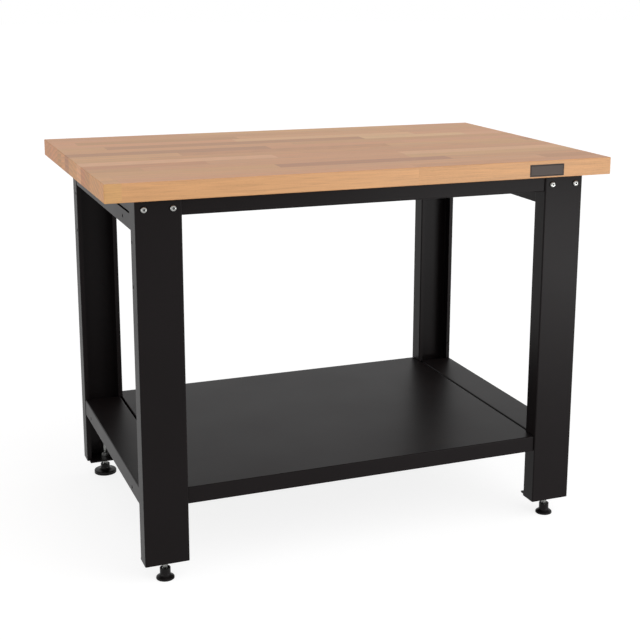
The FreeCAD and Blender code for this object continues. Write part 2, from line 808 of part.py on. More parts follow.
def make_rail_fixings():
    """A clamp plate behind each leg's lips, and the bolts that draw the lower rail to it."""
    plate = new_body("rail_clamp_front_left")
    low = "rail_bolt_z - clamp_height / 2"
    outline = box_outline(
        "-leg_centre - clamp_side",
        low,
        "-leg_centre + clamp_side",
        low + " + clamp_height",
    )
    thread = "(m8_diameter + thread_play) / 2"
    holes = [
        ("-leg_centre - rail_bolt_x", "rail_bolt_z", thread),
        ("-leg_centre + rail_bolt_x", "rail_bolt_z", thread),
    ]
    start = "-leg_back - leg_sheet - clamp_thickness"
    extrude(plate, "XZ", start, "clamp_thickness", outlines=[outline], circles=holes)
    keep_four(plate, "rail_clamp")
    bolts = []
    for side, name in ((" - rail_bolt_x", "outer"), (" + rail_bolt_x", "inner")):
        bolt = button_bolt("rail_bolt_" + name, "m8", "rail_bolt_length")
        x = "-leg_centre" + side
        bolts.append(place(bolt, x, "-rail_end + rail_sheet", "rail_bolt_z", (0, 1, 0)))
    keep_group("rail_bolts", bolts)


def make_apron_fixings():
    length = "apron_sheet + apron_end_gap + leg_sheet + m6_nut_height + thread_end / 2"
    bolt = button_bolt("apron_bolt", "m6", length)
    head_x = "-apron_end + apron_sheet"
    place(bolt, head_x, "-apron_bolt_y", "apron_bolt_z", (1, 0, 0))
    nut = hexagon_nut(
        "apron_nut", "m6_nut_width", "m6_nut_height", "(m6_diameter + thread_play) / 2"
    )
    place(nut, "-leg_inner - leg_sheet", "-apron_bolt_y", "apron_bolt_z", (-1, 0, 0))
    keep_group("apron_bolts", [bolt])
    keep_group("apron_nuts", [nut])


def make_worktop_screws():
    rail_screw = place(
        wood_screw("rail_screw"), "-rail_middle", "-rail_screw_y", "top_under - rail_sheet"
    )
    side_screw = place(
        wood_screw("apron_side_screw"), "-apron_screw_x", "-apron_screw_y", "top_under - apron_sheet"
    )
    middle_screw = place(
        wood_screw("apron_middle_screw"), "0", "-apron_screw_y", "top_under - apron_sheet"
    )
    quarter = group("worktop_screws_front_left", [rail_screw, side_screw])
    other = mirror(quarter, "x", "worktop_screws_front_right")
    front = group("worktop_screws_front", [quarter, other, middle_screw])
    back = mirror(front, "y", "worktop_screws_rear")
    keep(group("worktop_screws", [front, back]))


def make_shelf_fixings():
    length = "rail_sheet + shelf_sheet + m6_nut_height + thread_end"
    bolt = button_bolt("shelf_bolt", "m6", length)
    place(bolt, "-shelf_screw_x", "-shelf_screw_y", "lower_rail_foot", (0, 0, -1))
    nut = hexagon_nut(
        "shelf_nut", "m6_nut_width", "m6_nut_height", "(m6_diameter + thread_play) / 2"
    )
    place(nut, "-shelf_screw_x", "-shelf_screw_y", "ledge_top + shelf_sheet")
    keep_group("shelf_bolts", [bolt])
    keep_group("shelf_nuts", [nut])


# ---------------------------------------------------------------- levelling feet


def make_foot_nuts():
    weld = hexagon_nut("weld_nut", "weld_nut_width", "weld_nut_height", "stud_bore")
    place(weld, "-leg_centre", "-foot_y", "leg_foot")
    lock = hexagon_nut("lock_nut", "lock_nut_width", "lock_nut_height", "stud_bore")
    place(lock, "-leg_centre", "-foot_y", "foot_height - lock_nut_height")
    keep_group("foot_weld_nuts", [weld])
    keep_group("foot_lock_nuts", [lock])


def make_stud():
    """A threaded stud with a collar at its foot; Z = 0 is the floor."""
    body = new_body("foot_stud_front_left")
    shank, collar = "stud_diameter / 2", "collar_diameter / 2"
    foot = "socket_floor + collar_float"
    top = "leg_foot + weld_nut_height + stud_above_nut"
    profile = [
        ("0", foot),
        (collar + " - bolt_point", foot),
        (collar, foot + " + bolt_point"),
        (collar, foot + " + collar_height - bolt_point"),
        (collar + " - bolt_point", foot + " + collar_height"),
        (shank, foot + " + collar_height"),
        (shank, top + " - bolt_point"),
        (shank + " - bolt_point", top),
        ("0", top),
    ]
    revolve(body, [profile])
    place(body, "-leg_centre", "-foot_y", "0")
    keep_four(body, "foot_stud")


def make_pads(end, side):
    """Moulded pads: a round base with a low dome, and a hub whose cup holds the stud's collar."""
    body = new_body("foot_pad_%s_left" % end)
    rim, hub, cup = end + "_pad_diameter / 2", "hub_diameter / 2", "cup_diameter / 2"
    rim_top, hub_foot = end + "_pad_rim_height", end + "_hub_foot_height"
    socket = "(collar_diameter + collar_play) / 2"
    throat = "(stud_diameter + hole_play) / 2"
    lip_foot = "socket_floor + collar_height + collar_play"
    lip_top = lip_foot + " + snap_lip_height"
    profile = [
        ("0", "0"),
        (rim, "0"),
        (rim, rim_top),
        (hub, hub_foot),
        (hub, "pad_height"),
        (cup, "pad_height"),
        (cup, lip_top),
        (throat, lip_top),
        (throat, lip_foot),
        (socket, lip_foot),
        (socket, "socket_floor"),
        ("0", "socket_floor"),
    ]
    revolve(body, [profile])
    round_rings(body, [(hub, hub_foot)], "pad_sweep")
    round_rings(body, [(rim, rim_top)], "pad_rim_rounding")
    round_rings(body, [(hub, "pad_height"), (cup, "pad_height"), (rim, "0")], "pad_edge_rounding")
    place(body, "-leg_centre", side + "foot_y", "0")
    keep_both(body, "x", "foot_pad_%s_right" % end)


# ---------------------------------------------------------------- the table


keep(make_worktop())
keep(make_badge_plate())
keep_four(make_leg(), "leg")
keep_four(make_base_plate(), "base_plate")
keep_both(make_upper_rail(), "x", "upper_rail_right")
keep_both(make_lower_rail(), "x", "lower_rail_right")
keep_both(make_apron(), "y", "apron_rear")
keep(make_shelf())
make_leg_fixings()
make_rail_fixings()
make_apron_fixings()
make_worktop_screws()
make_shelf_fixings()
make_foot_nuts()
make_stud()
make_pads("front", "-")
make_pads("rear", "")
doc.recompute()

for thing in doc.Objects:
    if "Invalid" in thing.State or "Error" in thing.State:
        raise RuntimeError("%s: %s" % (thing.Label, thing.State))
for node in nodes:
    if node.Shape.isNull() or not node.Shape.isValid():
        raise RuntimeError("%s has no valid shape" % node.Label)

os.makedirs("parts", exist_ok=True)
for node in nodes:
    node.Shape.exportStep("parts/%s.step" % node.Label)
    print("%-26s %2d solids %12.0f mm3" % (node.Label, len(node.Shape.Solids), node.Shape.Volume))
print("%d sub-parts" % len(nodes))
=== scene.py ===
# %% [markdown]
# # An assembly table
# A workshop table has a thick board of glued beech on a frame of folded steel, a steel shelf below,
# and four levelling feet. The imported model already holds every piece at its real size, so this lesson
# gives the pieces their finishes, cuts a real thread on the feet's studs, and sets up a plain studio.
# Lengths are in metres. `MM` turns a size that a maker would give in millimetres into metres.

# %% Load the model
import json
import math

import bmesh
import bpy
from mathutils import Euler, Matrix, Vector


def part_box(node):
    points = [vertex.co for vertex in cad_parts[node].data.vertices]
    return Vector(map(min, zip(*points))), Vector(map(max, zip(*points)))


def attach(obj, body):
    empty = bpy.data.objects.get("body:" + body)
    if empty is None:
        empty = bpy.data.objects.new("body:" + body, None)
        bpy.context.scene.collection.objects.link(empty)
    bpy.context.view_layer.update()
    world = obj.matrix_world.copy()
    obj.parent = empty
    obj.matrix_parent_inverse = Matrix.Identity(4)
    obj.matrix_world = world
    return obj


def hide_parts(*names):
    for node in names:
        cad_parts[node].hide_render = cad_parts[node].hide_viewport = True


MM = 0.001

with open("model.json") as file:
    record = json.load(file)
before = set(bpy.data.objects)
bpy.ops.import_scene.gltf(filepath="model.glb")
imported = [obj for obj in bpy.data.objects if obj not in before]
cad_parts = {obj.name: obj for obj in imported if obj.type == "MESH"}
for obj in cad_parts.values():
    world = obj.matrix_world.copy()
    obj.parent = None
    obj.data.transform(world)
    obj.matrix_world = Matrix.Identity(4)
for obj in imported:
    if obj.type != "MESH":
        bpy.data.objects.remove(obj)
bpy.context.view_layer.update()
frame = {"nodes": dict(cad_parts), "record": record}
nodes = frame["nodes"]

# %% [markdown]
# ## Helpers for finishes
# Colours are easiest to read as the hex values of a paint chart, but a shader works in linear light,
# so one function turns one into the other. A second function adds a node to a finish, sets it up and
# links it. It looks at the sockets that are in use, because a Mix node, for one, hides the others.
# Every finish here begins as an empty material and ends in a surface shader, and two more functions
# do that.

# %% Helpers for colours and nodes
def colour(chart):
    """A hex colour such as #D8AC81 as the linear values that a shader wants, by the sRGB curve."""
    channels = [int(chart[i:i + 2], 16) / 255 for i in (1, 3, 5)]
    linear = [c / 12.92 if c <= 0.04045 else ((c + 0.055) / 1.055) ** 2.4 for c in channels]
    return (*linear, 1.0)


def add(tree, kind, inputs=None, **settings):
    """One new node. An input is found by its name or its number, and takes a value, a socket or a node."""
    node = tree.nodes.new("ShaderNode" + kind)
    for name, value in settings.items():
        setattr(node, name, value)
    in_use = [socket for socket in node.inputs if socket.enabled]
    for key, value in (inputs or {}).items():
        socket = in_use[key] if isinstance(key, int) else next(s for s in in_use if s.name == key)
        if isinstance(value, bpy.types.Node):
            value = next(output for output in value.outputs if output.enabled)
        if isinstance(value, bpy.types.NodeSocket):
            tree.links.new(value, socket)
        else:
            socket.default_value = value
    return node


def new_finish(name):
    """An empty finish: its material and its node tree."""
    material = bpy.data.materials.new(name)
    material.use_nodes = True
    material.node_tree.nodes.clear()
    return material, material.node_tree


def close_finish(tree, inputs):
    """The surface shader with its inputs, and the output that shows it."""
    add(tree, "OutputMaterial", {"Surface": add(tree, "BsdfPrincipled", inputs)})


print("white chart value in linear light:", colour("#FFFFFF")[:3])

# %% [markdown]
# ## Beech, glued from staves and oiled
# The board is fifteen rows of beech, each 50 mm wide, and each row is made of shorter staves end to
# end. What the eye sees first is that neighbouring staves differ a little in tone, because they come
# from different boards. So the pattern begins with a layout: which row is a point in, and which stave
# of that row? Every stave then throws its own dice for tone, hue and grain.
#
# A picture of wood wrapped round the board would show seams at its corners. This layout is worked out
# from the object's own coordinates, so it runs through the whole board as real wood does: the staves'
# side grain shows on the front edge and their end grain on the short ends.

# %% Where a point of the board lies: its row and its stave
STAVE_WIDTH = 50 * MM
JOINT_PITCH = 520 * MM
FIRST_JOINT, JOINT_RANGE = 0.15, 0.7  # where in its pitch a joint may lie
ROW_SHIFT = 9.0  # how many pitches the dice may push a row along
ROW_SEED, JOINT_SEED, STAVE_SEED = 132.0, 294.0, 31731.0  # chosen for where pale staves and joints fall
JUST_INSIDE = 0.9999  # keeps the board's very edge in its last row

board_low, board_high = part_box("worktop")
board_depth = board_high.y - board_low.y
rows = round(board_depth / STAVE_WIDTH)

beech, tree = new_finish("beech_oiled_glued_staves")
coordinates = add(tree, "TexCoord")
board_place = coordinates.outputs["Object"]
x, y, _ = add(tree, "SeparateXYZ", {0: board_place}).outputs

row_scale = JUST_INSIDE * rows / board_depth
across = add(tree, "Math", {0: y, 1: row_scale, 2: rows / 2}, operation="MULTIPLY_ADD")
row = add(tree, "Math", {0: across}, operation="FLOOR")
row_place = add(tree, "Math", {0: row, 1: ROW_SEED}, operation="ADD")
row_dice = add(tree, "TexWhiteNoise", {"W": row_place}, noise_dimensions="1D")
shift = add(tree, "Math", {0: row_dice, 1: ROW_SHIFT}, operation="MULTIPLY")
along = add(tree, "Math", {0: x, 1: 1 / JOINT_PITCH, 2: shift}, operation="MULTIPLY_ADD")

# One joint lies somewhere in each length of the pitch, so staves are 0.3 to 1.7 pitches long.
length = add(tree, "Math", {0: along}, operation="FLOOR")
share = add(tree, "Math", {0: along}, operation="FRACT")
joint_row = add(tree, "Math", {0: row, 1: JOINT_SEED}, operation="ADD")
joint_place = add(tree, "CombineXYZ", {0: length, 1: joint_row})
joint_dice = add(tree, "TexWhiteNoise", {0: joint_place}, noise_dimensions="2D")
joint = add(tree, "Math", {0: joint_dice, 1: JOINT_RANGE, 2: FIRST_JOINT}, operation="MULTIPLY_ADD")
past_joint = add(tree, "Math", {0: share, 1: joint}, operation="GREATER_THAN")

stave = add(tree, "Math", {0: length, 1: past_joint}, operation="ADD")
stave_row = add(tree, "Math", {0: row, 1: STAVE_SEED}, operation="ADD")
stave_place = add(tree, "CombineXYZ", {0: stave, 1: stave_row})
stave_dice = add(tree, "TexWhiteNoise", {0: stave_place}, noise_dimensions="2D").outputs["Color"]
tone_dice, hue_dice, grain_dice = add(tree, "SeparateColor", {0: stave_dice}).outputs
print("rows of staves:", rows, "of", round(board_depth / rows / MM, 1), "mm")

# %% [markdown]
# ### Streaks, veins and flecks
# Side grain is drawn out along the stave: broad streaks, thin darker veins, and beech's own mark, the
# rays, which are short dark flecks a few millimetres long. All three are noise that is stretched along
# X, which needs no more than a size each way. Every stave looks into another part of the noise, so the
# grain breaks off at a joint.

# %% Streaks, veins and ray flecks
STREAK_LENGTH, STREAK_WIDTH = 160 * MM, 7 * MM
VEIN_LENGTH, VEIN_WIDTH = 90 * MM, 2.6 * MM
FLECK_LENGTH, FLECK_WIDTH = 5 * MM, 1.1 * MM  # real ones are 0.4 mm wide, drawn coarser to show
GRAIN_SHIFT = (7.0, 5.0, 3.0)  # how far apart, in metres, the staves look into the noise

grain_shift = add(tree, "VectorMath", {0: stave_dice, 1: GRAIN_SHIFT}, operation="MULTIPLY")
wood_place = add(tree, "VectorMath", {0: board_place, 1: grain_shift}, operation="ADD")

noises = []
for long, wide, detail, roughness in ((STREAK_LENGTH, STREAK_WIDTH, 4.0, 0.6),
                                      (VEIN_LENGTH, VEIN_WIDTH, 3.0, 0.65),
                                      (FLECK_LENGTH, FLECK_WIDTH, 1.0, 0.5)):
    stretch = (1 / long, 1 / wide, 1 / wide)
    stretched = add(tree, "VectorMath", {0: wood_place, 1: stretch}, operation="MULTIPLY")
    noises.append(add(tree, "TexNoise", {"Vector": stretched, "Scale": 1.0,
                                         "Detail": detail, "Roughness": roughness}))
streak, vein_noise, fleck_noise = noises

# Only the noise's peaks are veins and flecks: they begin at From Min and are full at From Max.
vein = add(tree, "MapRange", {"Value": vein_noise, "From Min": 0.52, "From Max": 0.68})
fleck = add(tree, "MapRange", {"Value": fleck_noise, "From Min": 0.60, "From Max": 0.70})
print("streaks across a stave, about:", round(STAVE_WIDTH / STREAK_WIDTH))

# %% [markdown]
# ### Growth rings
# Each stave was sawn from another place in a trunk. A trunk's growth rings are cylinders, so the ring
# pattern is the distance to a far-off pith line, which is at another place for every stave and leans
# a little. Cut lengthwise those cylinders give long lines and arches, and cut across they give arcs,
# all from the same formula.

# %% Growth rings
RING_WIDTH = 3.2 * MM
END_RING_WIDTH = 13 * MM  # on the ends several rings are drawn as one, because single ones don't show
PITH_SPREAD = 220 * MM  # how far apart the staves' pith lines may lie
PITH_LEAN = 0.12  # how much their slopes may differ
RING_WOBBLE = 4 * MM  # how far a streak pushes a ring outwards

pith = add(tree, "VectorMath", {0: stave_dice, 1: (0.5, 0.5, 0.5)}, operation="SUBTRACT")
pith_place = add(tree, "VectorMath", {0: pith, 1: (0.0, PITH_SPREAD, PITH_SPREAD)}, operation="MULTIPLY")
from_pith = add(tree, "VectorMath", {0: board_place, 1: pith_place}, operation="SUBTRACT")
_, pith_y, pith_z = add(tree, "SeparateXYZ", {0: from_pith}).outputs
lean = add(tree, "Math", {0: grain_dice, 1: 0.5}, operation="SUBTRACT")
slope = add(tree, "Math", {0: lean, 1: PITH_LEAN}, operation="MULTIPLY")
leaning_z = add(tree, "Math", {0: x, 1: slope, 2: pith_z}, operation="MULTIPLY_ADD")
crosswise = add(tree, "CombineXYZ", {1: pith_y, 2: leaning_z})
radius = add(tree, "VectorMath", {0: crosswise}, operation="LENGTH")
wobble = add(tree, "Math", {0: streak, 1: RING_WOBBLE, 2: radius}, operation="MULTIPLY_ADD")

rings = []
for width in (RING_WIDTH, END_RING_WIDTH):
    ring_count = add(tree, "Math", {0: wobble, 1: width}, operation="DIVIDE")
    rings.append(add(tree, "Math", {0: ring_count}, operation="FRACT"))
ring, end_ring = rings
print("rings across a stave, about:", round(STAVE_WIDTH / RING_WIDTH))

# %% [markdown]
# ### Joints, ends and edges
# The glue between staves shows as a hair-thin darker line. The short ends of the board are end grain,
# which shows rings instead of streaks, drinks more oil and takes a stronger colour. The surface normal
# tells the sides apart: on a short end it points along X, and on a long edge along Y.

# %% Glue lines, end grain and long edges
GLUE_LINE = 0.7 * MM  # a real one is 0.2 mm, drawn coarser so that it shows

row_share = add(tree, "Math", {0: across}, operation="FRACT")
off_middle = add(tree, "Math", {0: row_share, 1: 0.5}, operation="SUBTRACT")
off_middle = add(tree, "Math", {0: off_middle}, operation="ABSOLUTE")
row_edge = 0.5 - GLUE_LINE / 2 / STAVE_WIDTH
edge_glue = add(tree, "Math", {0: off_middle, 1: row_edge}, operation="GREATER_THAN")
off_joint = add(tree, "Math", {0: share, 1: joint}, operation="SUBTRACT")
off_joint = add(tree, "Math", {0: off_joint}, operation="ABSOLUTE")
joint_glue = add(tree, "Math", {0: off_joint, 1: GLUE_LINE / 2 / JOINT_PITCH}, operation="LESS_THAN")
glue = add(tree, "Math", {0: edge_glue, 1: joint_glue}, operation="MAXIMUM")

normal_x, normal_y, _ = add(tree, "SeparateXYZ", {0: coordinates.outputs["Normal"]}).outputs
along_x = add(tree, "Math", {0: normal_x}, operation="ABSOLUTE")
end_grain = add(tree, "MapRange", {"Value": along_x, "From Min": 0.5, "From Max": 0.8})
long_edge = add(tree, "Math", {0: normal_y}, operation="ABSOLUTE")
print("glue line:", round(GLUE_LINE / MM, 2), "mm")

# %% [markdown]
# ### Colour, gloss and relief
# The stave's dice picks its tone on a ramp from pinkish brown to pale straw. Grain then shades that
# tone by a few percent either way, and glue darkens it. Oiled beech is a dielectric with the usual IOR
# of 1.5 and a soft, uneven gloss, and the grain is just proud enough to be felt.

# %% Beech: colour, gloss and relief
BROWNEST, PALEST = "#B37E54", "#DBAC78"
TONES_BETWEEN = ((0.06, "#BE8956"), (0.2, "#C8935D"), (0.85, "#D19D67"))
PLAIN_SHADE = 0.83  # with an average ring and streak added, it comes to about 1
SHADES = ((ring, -0.07), (streak, 0.46), (vein, -0.13), (fleck, -0.10), (glue, -0.16))
END_PLAIN_SHADE = -0.07
END_SHADES = ((grain_dice, 0.20), (end_ring, -0.26))
HUE_TURNS = ((long_edge, 0.009), (end_grain, -0.003))  # edges are more golden, and ends redder
END_STRENGTH = 0.12
GRAIN_HEIGHT = 0.06 * MM

stave_tone = add(tree, "ValToRGB", {0: tone_dice})
stops = stave_tone.color_ramp.elements
stops[0].color, stops[-1].color = colour(BROWNEST), colour(PALEST)
for stop, chart in TONES_BETWEEN:
    stops.new(stop).color = colour(chart)

shade = PLAIN_SHADE
for pattern, amount in SHADES:
    shade = add(tree, "Math", {0: pattern, 1: amount, 2: shade}, operation="MULTIPLY_ADD")
end_shade = END_PLAIN_SHADE
for pattern, amount in END_SHADES:
    end_shade = add(tree, "Math", {0: pattern, 1: amount, 2: end_shade}, operation="MULTIPLY_ADD")
shade = add(tree, "Math", {0: end_grain, 1: end_shade, 2: shade}, operation="MULTIPLY_ADD")

hue = add(tree, "MapRange", {"Value": hue_dice, "To Min": 0.487, "To Max": 0.501})  # 0.5 is no turn
for side, turn in HUE_TURNS:
    hue = add(tree, "Math", {0: side, 1: turn, 2: hue}, operation="MULTIPLY_ADD")
strength = add(tree, "Math", {0: end_grain, 1: END_STRENGTH, 2: 1.0}, operation="MULTIPLY_ADD")
grained = add(tree, "HueSaturation", {"Hue": hue, "Saturation": strength, "Value": shade,
                                      "Color": stave_tone})

gloss = add(tree, "MapRange", {"Value": streak, "To Min": 0.40, "To Max": 0.54})
sunk = add(tree, "Math", {0: fleck, 1: glue}, operation="MAXIMUM")
height = add(tree, "Math", {0: sunk, 1: -1.0, 2: streak}, operation="MULTIPLY_ADD")
relief = add(tree, "Bump", {"Strength": 0.35, "Distance": GRAIN_HEIGHT, "Height": height})
close_finish(tree, {"Base Color": grained, "Roughness": gloss, "Normal": relief})
print("beech:", len(tree.nodes), "nodes")

# %% [markdown]
# ## Satin black powder coat
# The folded sheet steel is sprayed with dry powder and baked. The film flows out but never quite flat:
# it keeps a fine orange peel with waves a millimetre or two long, so reflections are soft. The black
# is a little warm and not fully dark. It is paint, not metal, so it is a dielectric with low gloss.
# The waves are far too many for a mesh, so a bump from fine noise draws them.

# %% Powder coat
ORANGE_PEEL = 2.2 * MM  # real waves are about 1.2 mm, drawn coarser so that they show
PEEL_HEIGHT = 0.04 * MM
COAT_PATCH = 180 * MM  # the film's tone and gloss change this slowly
COAT_MIRROR = 0.08  # the usual 0.5 would turn it grey in a room that is white all round

powder_coat, tree = new_finish("powder_coat_satin_black")
place = add(tree, "TexCoord").outputs["Object"]
peel = add(tree, "TexNoise", {"Vector": place, "Scale": 1 / ORANGE_PEEL, "Detail": 2.0, "Roughness": 0.55})
patch = add(tree, "TexNoise", {"Vector": place, "Scale": 1 / COAT_PATCH, "Detail": 3.0})
film = add(tree, "Mix", {"Factor": patch, "A": colour("#120F0F"), "B": colour("#171314")}, data_type="RGBA")
gloss = add(tree, "MapRange", {"Value": patch, "To Min": 0.34, "To Max": 0.42})
relief = add(tree, "Bump", {"Strength": 0.25, "Distance": PEEL_HEIGHT, "Height": peel})
close_finish(tree, {"Base Color": film, "Roughness": gloss, "Normal": relief,
                    "Specular IOR Level": COAT_MIRROR})
print("powder coat:", len(tree.nodes), "nodes")

# %% [markdown]
# ## Bright zinc plate
# Bolts, nuts and studs are steel with a few microns of zinc. Zinc is a pale grey metal, and plating
# leaves it a little cloudy, so its gloss changes over a few millimetres. A metal's colour is that of
# its reflections, and its IOR stays at the default. Down in sockets and corners the plate mirrors its
# own walls instead of the room and gets little light. The surroundings are so bright that this would
# hardly show, so the ambient occlusion node finds such places and painted shade makes them darker.
# One function makes two platings, and the studs' one is painted brighter, as painted light, because
# the studs stand in the shade of the base plate.

# %% Zinc plate
CLOUD = 4 * MM  # how wide a cloudy spot of the plating is
# The reach of the painted recess shade:
SHADE_REACH = 5 * MM  # how far off a wall still counts as a recess

def zinc(name, clear, cloudy, recess_shade):
    """Zinc plate with two tones in its clouds, and a third, darker one as painted shade in sockets and
    corners.
    """
    material, tree = new_finish(name)
    place = add(tree, "TexCoord").outputs["Object"]
    cloud = add(tree, "TexNoise", {"Vector": place, "Scale": 1 / CLOUD, "Detail": 3.0})
    plate = add(tree, "Mix", {"Factor": cloud, "A": colour(clear), "B": colour(cloudy)}, data_type="RGBA")
    # Painted shade: where ambient occlusion finds a socket, a thread root or a corner, the colour is mixed
    # towards the recess shade colour.
    shade_occlusion = add(tree, "AmbientOcclusion", {"Distance": SHADE_REACH}, samples=8, only_local=True).outputs["AO"]
    unshaded_share = add(tree, "MapRange", {"Value": shade_occlusion, "From Min": 0.35, "From Max": 0.85})
    plate = add(tree, "Mix", {"Factor": unshaded_share, "A": colour(recess_shade), "B": plate}, data_type="RGBA")
    gloss = add(tree, "MapRange", {"Value": cloud, "To Min": 0.20, "To Max": 0.36})
    close_finish(tree, {"Base Color": plate, "Metallic": 1.0, "Roughness": gloss})
    return material


# The last colour of each plating is its painted recess shade.
zinc_plate = zinc("zinc_plated_steel", "#8F908F", "#ABABA8", "#1F1E1D")
# The studs' plating is painted brighter than the bolts', as painted light, because the studs stand in the
# shade of the base plate. Its painted recess shade is lighter too.
zinc_thread_painted_lit = zinc("zinc_plated_steel_thread_painted_lit", "#B4B5B4", "#D6D6D2", "#8A8B89")
print("zinc plate:", len(zinc_plate.node_tree.nodes), "nodes")

# %% [markdown]
# ## The badge plate
# A small plate of darkened stainless steel is let into the front edge. It is brushed along its length,
# so its scratches are long and thin: noise stretched along X. It carries no lettering, only an etched
# dark line round it. Etching is too shallow to need a mesh, so the line is drawn where the distance to
# the nearest edge is just right.

# %% Dark brushed steel
SCRATCH_LENGTH, SCRATCH_WIDTH = 30 * MM, 0.35 * MM
SCRATCH_DEPTH = 0.02 * MM
BORDER_MIDDLE = 2.4 * MM  # from the plate's edge to the middle of the etched line
BORDER_WIDTH = 1.2 * MM

dark_steel, tree = new_finish("stainless_steel_dark_brushed")
place = add(tree, "TexCoord").outputs["Object"]
stretch = (1 / SCRATCH_LENGTH, 1 / SCRATCH_WIDTH, 1 / SCRATCH_WIDTH)
stretched = add(tree, "VectorMath", {0: place, 1: stretch}, operation="MULTIPLY")
scratch = add(tree, "TexNoise", {"Vector": stretched, "Scale": 1.0, "Detail": 3.0})
plate = add(tree, "Mix", {"Factor": scratch, "A": colour("#2F2B29"), "B": colour("#45403E")},
            data_type="RGBA")

badge_low, badge_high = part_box("badge_plate")
badge_middle, badge_half = (badge_low + badge_high) / 2, (badge_high - badge_low) / 2
from_middle = add(tree, "VectorMath", {0: place, 1: tuple(badge_middle)}, operation="SUBTRACT")
either_way = add(tree, "VectorMath", {0: from_middle}, operation="ABSOLUTE")
off_x, _, off_z = add(tree, "SeparateXYZ", {0: either_way}).outputs
to_end = add(tree, "Math", {0: badge_half.x, 1: off_x}, operation="SUBTRACT")
to_side = add(tree, "Math", {0: badge_half.z, 1: off_z}, operation="SUBTRACT")
to_edge = add(tree, "Math", {0: to_end, 1: to_side}, operation="MINIMUM")
border = add(tree, "Math", {0: to_edge, 1: BORDER_MIDDLE, 2: BORDER_WIDTH / 2}, operation="COMPARE")
plate = add(tree, "Mix", {"Factor": border, "A": plate, "B": colour("#1A1716")}, data_type="RGBA")

gloss = add(tree, "MapRange", {"Value": scratch, "To Min": 0.34, "To Max": 0.52})
relief = add(tree, "Bump", {"Strength": 0.3, "Distance": SCRATCH_DEPTH, "Height": scratch})
close_finish(tree, {"Base Color": plate, "Metallic": 1.0, "Roughness": gloss, "Normal": relief})
print("dark steel:", len(tree.nodes), "nodes")

# %% [markdown]
# ## Moulded polyamide
# The pads are injection moulded from black polyamide. The mould was spark-eroded, which leaves a very
# fine grain all over, and the plastic has a low sheen. One fine noise gives the grain its height, its
# tone and its gloss together, because on the real pad all three come from the same pits.

# %% Polyamide
MOULD_GRAIN = 0.9 * MM  # a real grain is about 0.1 mm, drawn coarser so that it shows
MOULD_DEPTH = 0.03 * MM
PAD_MIRROR = 0.12  # low for the same reason as the powder coat's

polyamide, tree = new_finish("polyamide_black_moulded")
place = add(tree, "TexCoord").outputs["Object"]
grain = add(tree, "TexNoise", {"Vector": place, "Scale": 1 / MOULD_GRAIN, "Detail": 2.0})
plastic = add(tree, "Mix", {"Factor": grain, "A": colour("#0E0C0C"), "B": colour("#161414")},
              data_type="RGBA")
gloss = add(tree, "MapRange", {"Value": grain, "To Min": 0.28, "To Max": 0.40})
relief = add(tree, "Bump", {"Strength": 0.3, "Distance": MOULD_DEPTH, "Height": grain})
close_finish(tree, {"Base Color": plastic, "Roughness": gloss, "Normal": relief,
                    "Specular IOR Level": PAD_MIRROR})
print("polyamide:", len(tree.nodes), "nodes")

# %% [markdown]
# ## Dressing the pieces
# The model's record names a finish slot for every piece. The pieces could be named here one by one, but
# the record already knows them, so each slot gets one of the finishes above. The meshes themselves stay
# as they are.

# %% Give every piece its finish
finishes = {
    "beech": beech,
    "black_powder_coat": powder_coat,
    "zinc_plated_steel": zinc_plate,
    "badge_steel": dark_steel,
    "black_polyamide": polyamide,
}
for subpart in frame["record"]["subparts"]:
    for material_slot in nodes[subpart["node"]].material_slots:
        material_slot.material = finishes[subpart["material_slot"]]

# %% [markdown]
# ## The levelling studs
# In the model each stud is a plain cylinder, which is enough for its motion. Here it gets its thread.
# A metric M12 thread climbs 1.75 mm a turn. Its section is a row of trapezoids: a narrow flat crest, a
# flank, a wider root and a flank. A bump would leave the stud's outline straight, so the thread is a
# mesh.

# %% The thread's section
PITCH = 1.75 * MM
THREAD_RADIUS = 5.98 * MM  # 12 mm across, less the play that a nut needs
THREAD_DEPTH = 0.6134 * PITCH  # as the metric thread's standard has it

root_radius = THREAD_RADIUS - THREAD_DEPTH
root_flat, crest_flat = PITCH / 4, PITCH / 8
flank = (PITCH - root_flat - crest_flat) / 2
tooth = [(0.0, root_radius), (root_flat, root_radius),
         (root_flat + flank, THREAD_RADIUS), (root_flat + flank + crest_flat, THREAD_RADIUS)]
print("thread depth:", round(THREAD_DEPTH / MM, 2), "mm")

# %% [markdown]
# ### The ridge
# The mesh has one column of points for each step round the stud, and each column is the same zigzag,
# lifted a little more than the last. After a full turn it has risen by one pitch, so the last column
# joins the first one tooth higher up, and the ridge becomes a helix. At both ends the zigzag is cut
# off flat, and at the top the rod is also pointed, so that a nut finds its way on.

# %% Helpers for the thread
STEPS = 48  # points round a stud

def ring_point(bm, centre, radius, step, height):
    """A point at one of the steps round the centre."""
    angle = 2 * math.pi * step / STEPS
    return bm.verts.new((centre.x + radius * math.cos(angle), centre.y + radius * math.sin(angle), height))


def radius_at(zigzag, height):
    """The zigzag's radius at a height, between its two nearest corners."""
    for (low, low_radius), (high, high_radius) in zip(zigzag, zigzag[1:]):
        if low <= height <= high:
            return low_radius + (high_radius - low_radius) * (height - low) / (high - low)
    return root_radius


def thread_column(lift, low, high):
    """One column's zigzag, cut off flat at both ends and pointed at the top."""
    turns = math.ceil((high - low) / PITCH) + 2
    zigzag = [(lift + turn * PITCH + rise, radius) for turn in range(turns) for rise, radius in tooth]
    column = []
    for height, radius in zigzag:
        if not low <= height <= high:
            height = min(max(height, low), high)
            radius = radius_at(zigzag, height)
        column.append((height, min(radius, root_radius + high - height)))
    return column


